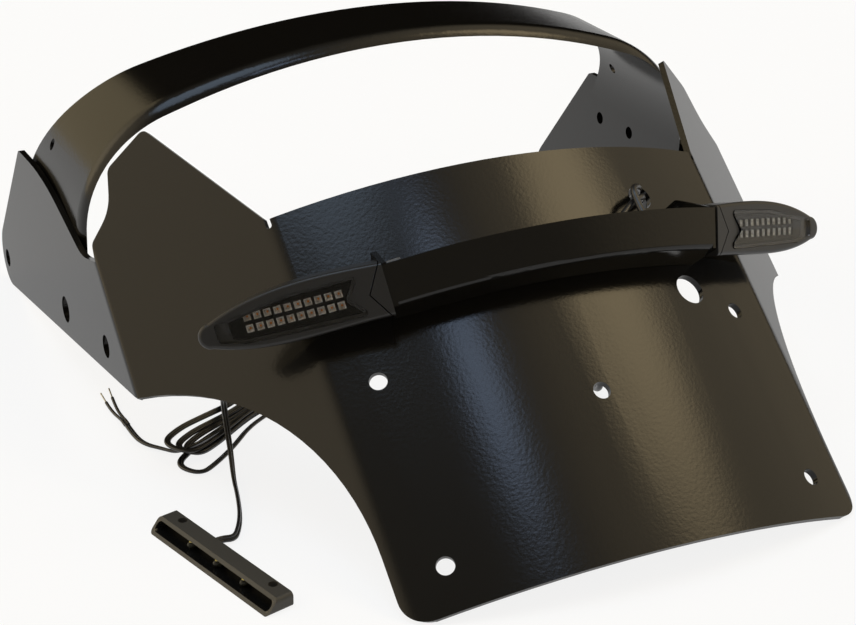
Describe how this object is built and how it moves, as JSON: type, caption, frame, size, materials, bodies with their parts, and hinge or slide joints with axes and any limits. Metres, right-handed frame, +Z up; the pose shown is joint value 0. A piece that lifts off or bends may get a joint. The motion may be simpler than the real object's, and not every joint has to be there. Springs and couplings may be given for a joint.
{
  "type": "motorcycle tail tidy",
  "caption": "Folded black sheet tail bracket with an arched plate panel, side plates, a hoop, clear-lens turn signals on a curved bar and a loose corded plate light.",
  "frame": {"origin": "on the table, under the middle of the bounding box of the set without its cords", "axes": "+X to the right seen from behind, +Y forward along the motorcycle, +Z up"},
  "size_m": [0.2891, 0.3518, 0.1378],
  "materials": {
    "powder_coat": "gloss black powder coat",
    "signal_plastic": "fine matt",
    "clear_lens": "clear, polished",
    "reflector_metal": "bright vacuum coat",
    "light_board": "solder mask with light chips",
    "zinc_steel": "zinc",
    "lamp_plastic": "fine matt",
    "lamp_leds": "clear domes",
    "cord_sheath": "satin",
    "bare_wire": "tinned strands"
  },
  "bodies": {
    "root": {"main_bracket": "powder_coat", "hoop": "powder_coat", "light_bar": "powder_coat", "right_signal_foot": "signal_plastic", "left_signal_foot": "signal_plastic", "right_signal_housing": "signal_plastic", "left_signal_housing": "signal_plastic", "right_signal_lens": "clear_lens", "left_signal_lens": "clear_lens", "right_signal_reflector": "reflector_metal", "left_signal_reflector": "reflector_metal", "right_signal_light_board": "light_board", "left_signal_light_board": "light_board", "right_signal_stud": "zinc_steel", "left_signal_stud": "zinc_steel", "right_signal_washer": "zinc_steel", "left_signal_washer": "zinc_steel", "right_signal_nut": "zinc_steel", "left_signal_nut": "zinc_steel", "plate_light_housing": "lamp_plastic", "plate_light_leds": "lamp_leds", "plate_light_cord": "cord_sheath", "plate_light_hank": "cord_sheath", "plate_light_tail": "cord_sheath", "plate_light_core_a": "cord_sheath", "plate_light_core_b": "cord_sheath", "plate_light_core_tips": "bare_wire", "right_signal_lead": "cord_sheath", "left_signal_lead": "cord_sheath"}
  },
  "joints": []
}
